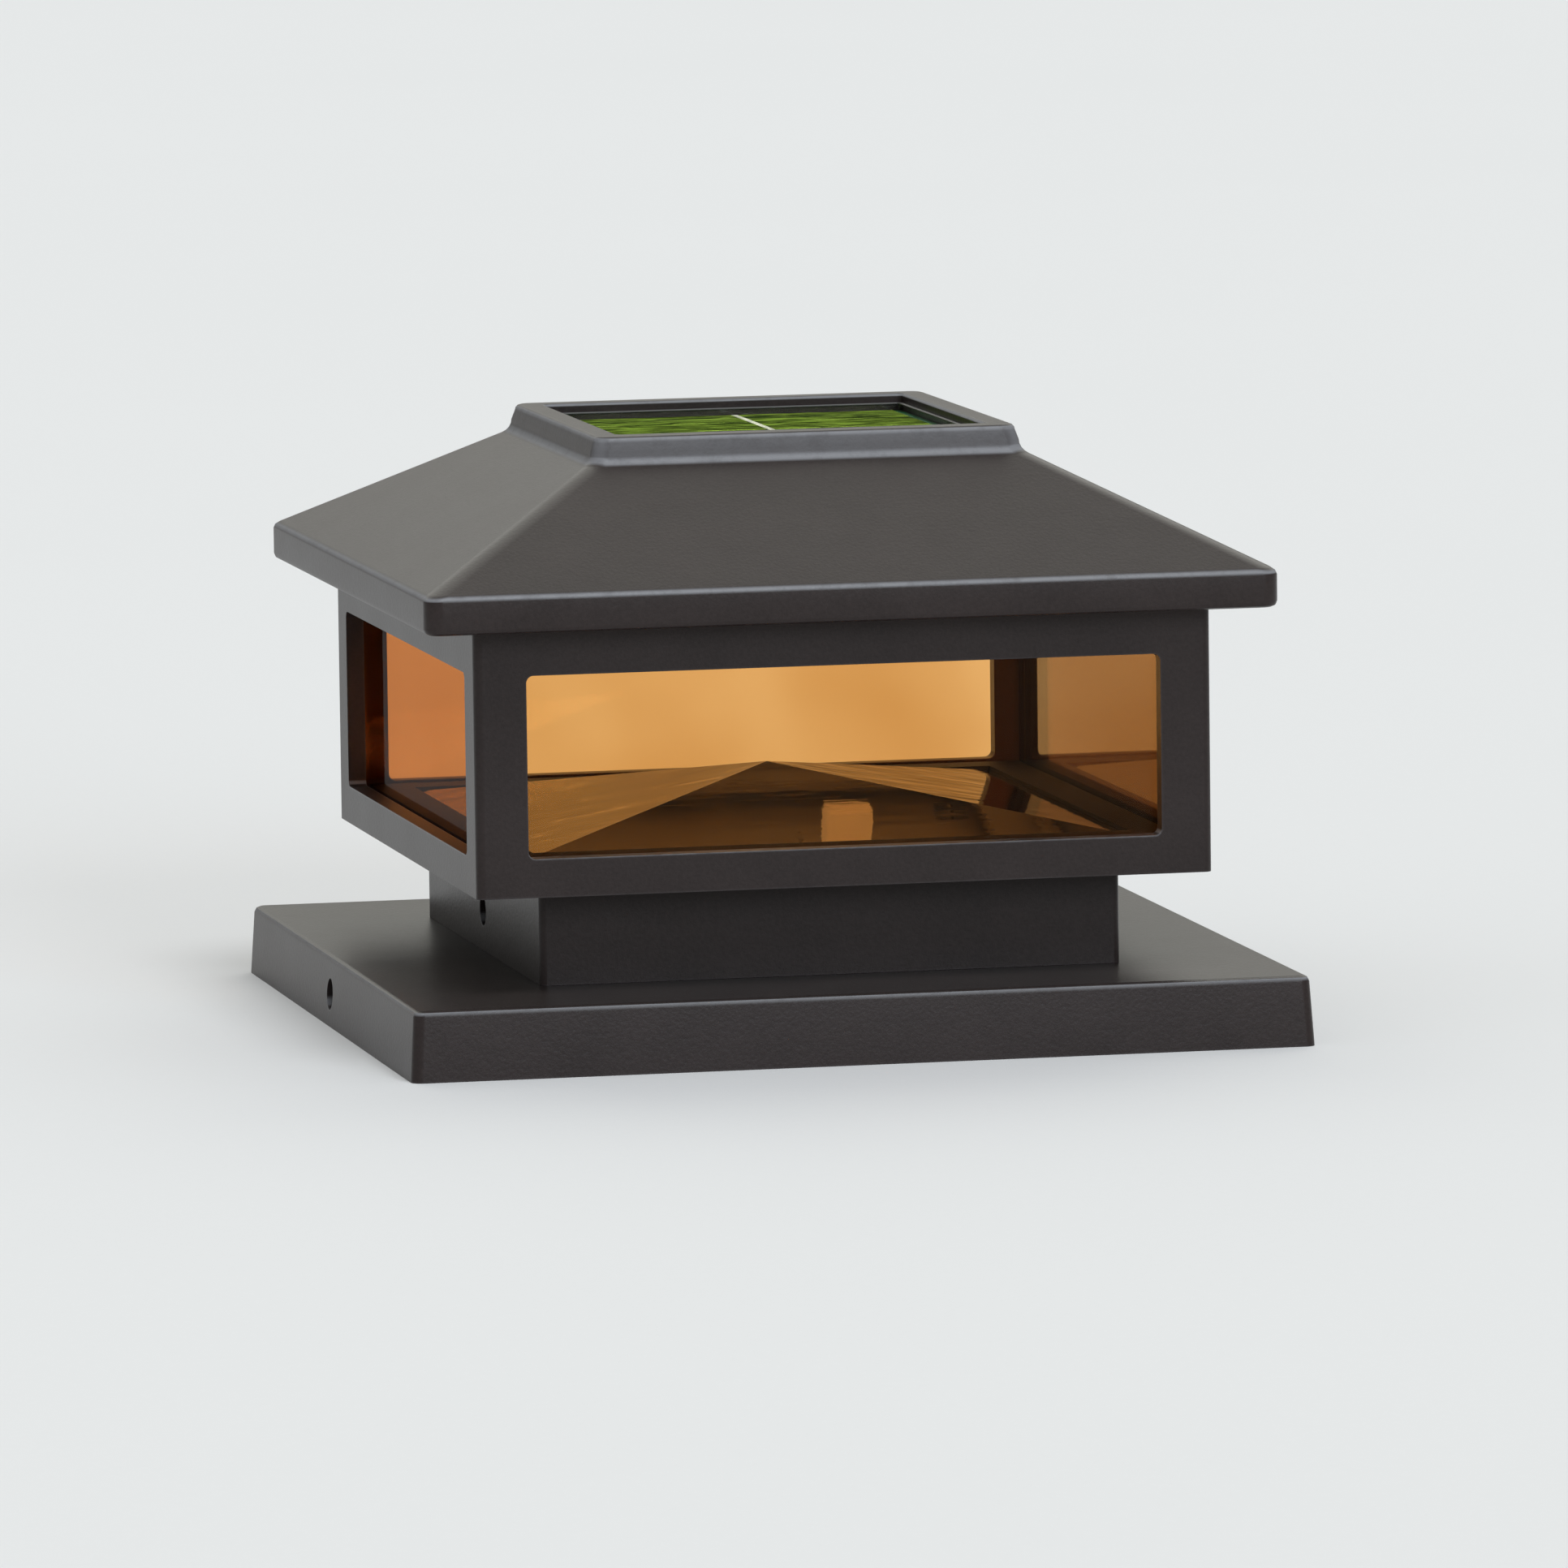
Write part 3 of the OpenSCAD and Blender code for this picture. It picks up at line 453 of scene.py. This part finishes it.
coilLook = {
    "colour": (0.48, 0.17, 0.06), "grain": 0.4 * mm, "patch": 2 * mm, "tone": 0.4,
    "rough": 0.3, "roughSpread": 0.15, "metal": 0.85, "turn": 0.35 * mm, "turnDepth": 0.05 * mm,
}


def makeCopperCoil(look):
    material, tree, shader, grain = grained("copperCoil", look, {"Metallic": look["metal"]}, bumped=False)
    upright = splitAxes(tree, placeOn(tree))["Z"]
    turns = calculate(tree, "SINE", calculate(tree, "MULTIPLY", upright, 2 * math.pi / look["turn"]))
    addBump(tree, shader, turns, look["turnDepth"])
    return material


# Insulated wires: white, or with one colour on each side of a split

wireLook = {
    "colour": (0.5, 0.5, 0.48), "grain": 0.6 * mm, "patch": 6 * mm, "tone": 0.2,
    "rough": 0.42, "roughSpread": 0.15, "depth": 0.006 * mm,
    "split": {"solar_wires": -3 * mm, "battery_wires": -20 * mm},
    "left": (0.012, 0.012, 0.012), "right": (0.30, 0.012, 0.012),
}


def makeTwoWires(name, look, split):
    material, tree, shader, grain = grained(name, look)
    wires = useGroup(tree, twoWiresGroup, {
        "Colour": grain["Colour"], "Split": split, "Left": look["left"], "Right": look["right"],
    })
    join(tree, wires["Colour"], shader.inputs["Base Color"])
    return material


metalLooks = {
    "zincSteel": {"colour": (0.62, 0.62, 0.60), "grain": 0.5 * mm, "patch": 4 * mm, "tone": 0.25,
                  "rough": 0.32, "roughSpread": 0.2, "depth": 0.004 * mm},
    "magnetNickel": {"colour": (0.66, 0.64, 0.60), "grain": 0.8 * mm, "patch": 4 * mm, "tone": 0.25,
                     "rough": 0.16, "roughSpread": 0.15, "depth": 0.004 * mm},
}
plainLooks = {
    "blackPlastic": {"colour": (0.230, 0.212, 0.200), "grain": 0.35 * mm, "patch": 14 * mm,
                     "tone": 0.35, "rough": 0.52, "roughSpread": 0.15, "depth": 0.015 * mm},
    "foamRubber": {"colour": (0.018, 0.018, 0.018), "grain": 0.5 * mm, "patch": 4 * mm,
                   "tone": 0.9, "rough": 0.9, "roughSpread": 0.1, "depth": 0.12 * mm},
    "greySealant": {"colour": (0.075, 0.073, 0.068), "grain": 1.2 * mm, "patch": 5 * mm,
                    "tone": 0.5, "rough": 0.42, "roughSpread": 0.2, "depth": 0.10 * mm},
    "greenLaminate": {"colour": (0.012, 0.085, 0.03), "grain": 0.5 * mm, "patch": 3 * mm,
                      "tone": 0.35, "rough": 0.3, "roughSpread": 0.1, "depth": 0.01 * mm},
    "chipBlack": {"colour": (0.018, 0.018, 0.019), "grain": 0.25 * mm, "patch": 3 * mm,
                  "tone": 0.3, "rough": 0.6, "roughSpread": 0.1, "depth": 0.01 * mm},
    "capacitorSleeve": {"colour": (0.02, 0.03, 0.07), "grain": 0.6 * mm, "patch": 4 * mm,
                        "tone": 0.2, "rough": 0.28, "roughSpread": 0.1, "depth": 0.004 * mm},
    "cellSleeve": {"colour": (0.03, 0.16, 0.07), "grain": 0.8 * mm, "patch": 8 * mm,
                   "tone": 0.2, "rough": 0.3, "roughSpread": 0.1, "depth": 0.006 * mm},
    "emitterYellow": {"colour": (0.75, 0.52, 0.06), "grain": 0.2 * mm, "patch": 1 * mm,
                      "tone": 0.3, "rough": 0.5, "roughSpread": 0.2, "depth": 0.01 * mm},
    "solarRibbon": {"colour": (0.44, 0.42, 0.32), "grain": 0.8 * mm, "patch": 2.6 * mm,
                    "tone": 1.5, "rough": 0.42, "roughSpread": 0.3, "depth": 0.02 * mm},
}
# The lamp block gives off a faint painted light that brightens it beyond the light falling on it
lampLook = {
    "colour": (0.90, 0.86, 0.80), "grain": 0.3 * mm, "patch": 5 * mm, "tone": 0.12,
    "rough": 0.5, "roughSpread": 0.2, "depth": 0.01 * mm, "glow": (1.0, 0.78, 0.55), "paintedGlowStrength": 0.09,
}
glazingLook = {
    "colour": (0.016, 0.009, 0.007), "grain": 0.4 * mm, "patch": 10 * mm, "tone": 0.4,
    "rough": 0.6, "roughSpread": 0.1, "depth": 0.02 * mm, "shine": 0.1,
}


def slotName(material):
    # blackPlastic dresses the slot black_plastic
    return "".join("_" + letter.lower() if letter.isupper() else letter for letter in material.name)


finishes = [
    makePowderCoat(powderLook), makeAmberGlass(amberLook), makeClearCover(coverLook),
    makeMirrorFilm(mirrorLook), makeSolarWafer(waferLook), makeCopperCoil(coilLook),
    grained("wireInsulation", wireLook)[0],
    grained("lampWhite", lampLook, {"Emission Color": (*lampLook["glow"], 1.0),
                                    "Emission Strength": lampLook["paintedGlowStrength"]})[0],
]
finishes += [grained(name, look, {"Metallic": 1.0})[0] for name, look in metalLooks.items()]
finishes += [grained(name, look)[0] for name, look in plainLooks.items()]
slotMaterials = {slotName(material): material for material in finishes}

# Nodes that differ from the rest of their slot
nodeMaterials = {name: makeTwoWires(name.replace("_w", "W"), wireLook, split)
                 for name, split in wireLook["split"].items()}
nodeMaterials["lower_glazing_frame"] = grained("glazingBlack", glazingLook,
                                               {"Specular IOR Level": glazingLook["shine"]})[0]
print("materials made:", len(slotMaterials) + len(nodeMaterials))


# The CAD nodes: their materials and, in mm, how far their edges are rounded. The panel's cover and
# wafers keep the faces they come with, because rounding would bend the reflections in them

edgeWidths = {
    "post_skirt": 0.6, "post_collar": 0.35, "floor_plate": 0.2, "lantern_frame": 0.7,
    "roof_shell": 0.3, "roof_tray": 0.25, "lower_glazing_frame": 0.2, "upper_glazing_frame": 0.25,
    "pane_front": 0.2, "pane_back": 0.2, "pane_left": 0.2, "pane_right": 0.2,
    "mirror_pyramid": 0.35, "panel_bead": 0.12, "lamp_holder": 0.3, "lamp_block": 0.5,
    "battery_door": 0.25, "battery_cell": 0.4, "switch_body": 0.25, "switch_slider": 0.25,
    "circuit_board": 0.15, "control_chip": 0.08, "filter_capacitor": 0.3, "board_screws": 0.2,
    "roof_magnets": 0.25, "keeper_plates": 0.15,
}
edgeAngles = {"mirror_pyramid": 8}    # the ridges between its facets are shallow
edgeFinish = {"angle": 40, "segments": 3, "weldGap": 0.002 * mm, "flatAngle": 0.3}


def roundEdges(node, width, angle, finish):
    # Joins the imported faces, rounds the sharp edges and evens the shading
    for face in node.data.polygons:
        face.use_smooth = True
    weld = node.modifiers.new("Weld", "WELD")
    weld.merge_threshold = finish["weldGap"]
    flat = node.modifiers.new("Flat faces", "DECIMATE")
    flat.decimate_type = "DISSOLVE"
    flat.angle_limit = math.radians(finish["flatAngle"])
    bevel = node.modifiers.new("Rounded edges", "BEVEL")
    bevel.width = width * mm
    bevel.segments = finish["segments"]
    bevel.limit_method = "ANGLE"
    bevel.angle_limit = math.radians(angle)
    bevel.use_clamp_overlap = True
    even = node.modifiers.new("Even shading", "WEIGHTED_NORMAL")
    even.keep_sharp = False
    even.weight = 100


slotOf = {part["node"]: part["material_slot"] for part in frame["record"]["subparts"]}
for name, node in cad.items():
    node.data.materials.clear()
    node.data.materials.append(nodeMaterials.get(name) or slotMaterials[slotOf[name]])
    if name in edgeWidths:
        roundEdges(node, edgeWidths[name], edgeAngles.get(name, edgeFinish["angle"]), edgeFinish)
print("nodes dressed:", len(cad))


# Floor, light and camera

floorLook = {
    "half": 14.0, "colour": (0.76, 0.757, 0.75), "grain": 2 * mm, "patch": 400 * mm, "tone": 0.02,
    "rough": 0.9, "roughSpread": 0.02,
}


def makeFloor(look):
    half = look["half"]
    corners = [(-half, -half, 0), (half, -half, 0), (half, half, 0), (-half, half, 0)]
    mesh = bpy.data.meshes.new("floor")
    mesh.from_pydata(corners, [], [(0, 1, 2, 3)])
    mesh.materials.append(grained("floorPaper", look, {"Specular IOR Level": 0.0}, bumped=False)[0])
    floor = bpy.data.objects.new("floor", mesh)
    bpy.context.scene.collection.objects.link(floor)


skyLook = {
    "horizon": (0.10, 0.092, 0.065), "sky": (0.42, 0.43, 0.44), "skyFrom": 0.06, "skyFull": 0.27,
    "sweep": (0.60, 0.59, 0.57), "sweepTo": 0.06,    # the paper's far end, a bright band low down
}


def makeWorld(look):
    world = bpy.data.worlds.new("studio")
    bpy.context.scene.world = world
    world.use_nodes = True
    tree = world.node_tree
    tree.nodes.clear()
    height = splitAxes(tree, addNode(tree, "TexCoord").outputs["Generated"])["Z"]

    def climb(start, end):
        node = addNode(tree, "MapRange", {"From Min": start, "From Max": end},
                       interpolation_type="SMOOTHSTEP")
        join(tree, height, node.inputs["Value"])
        return node.outputs["Result"]

    colour = mixColours(tree, climb(look["skyFrom"], look["skyFull"]), look["horizon"], look["sky"])
    colour = mixColours(tree, climb(0.0, look["sweepTo"]), look["sweep"], colour)
    background = addNode(tree, "Background")
    join(tree, colour, background.inputs["Color"])
    join(tree, background.outputs[0], addNode(tree, "OutputWorld").inputs["Surface"])


# Wide, far lamps light the floor as evenly as the object
lamps = {
    "backSoftbox": {"from": (0.15, 0.72, 0.67), "spread": 60, "strength": 0.85,
                    "colour": (1.0, 0.99, 0.88)},
    "topSoftbox": {"from": (0.05, -0.40, 0.92), "spread": 26, "strength": 1.3,
                   "colour": (0.92, 0.96, 1.0)},
    "frontSoftbox": {"from": (0.22, -0.91, 0.32), "spread": 22, "strength": 1.1,
                     "colour": (0.86, 0.93, 1.0)},
}


def makeLamp(name, values):
    light = bpy.data.lights.new(name, "SUN")
    light.energy = values["strength"]
    light.angle = math.radians(values["spread"])
    light.color = values["colour"]
    lamp = bpy.data.objects.new(name, light)
    bpy.context.scene.collection.objects.link(lamp)
    lamp.rotation_euler = Vector(values["from"]).to_track_quat("Z", "Y").to_euler()


camera = {
    "azimuth": -12.163, "elevation": 6.273, "roll": -0.747, "distance": 2240.7 * mm,
    "target": (0, 0, 45 * mm), "aimRight": 2.95 * mm, "aimDown": 7.42 * mm,
    "lens": 309.6, "sensor": 36, "clipEnd": 60,
}


def makeCamera(values):
    turn, lift = math.radians(values["azimuth"]), math.radians(values["elevation"])
    roll = math.radians(values["roll"])
    back = Vector((math.sin(turn) * math.cos(lift), -math.cos(turn) * math.cos(lift), math.sin(lift)))

    def axesFor(backward):
        right = Vector((0, 0, 1)).cross(backward).normalized()
        up = backward.cross(right)
        return (right * math.cos(roll) + up * math.sin(roll),
                up * math.cos(roll) - right * math.sin(roll))

    right, up = axesFor(back)
    target = Vector(values["target"])
    place = target + back * values["distance"]
    aim = target + right * values["aimRight"] - up * values["aimDown"]
    backward = (place - aim).normalized()
    right, up = axesFor(backward)
    view = bpy.data.cameras.new("camera")
    view.lens = values["lens"]
    view.sensor_width = values["sensor"]
    view.clip_end = values["clipEnd"]
    viewer = bpy.data.objects.new("camera", view)
    bpy.context.scene.collection.objects.link(viewer)
    axes = Matrix((right, up, backward)).transposed().to_4x4()
    viewer.matrix_world = Matrix.Translation(place) @ axes
    bpy.context.scene.camera = viewer


makeFloor(floorLook)
makeWorld(skyLook)
for name, values in lamps.items():
    makeLamp(name, values)
makeCamera(camera)
bpy.context.scene.view_settings.view_transform = "Standard"
print("studio ready")
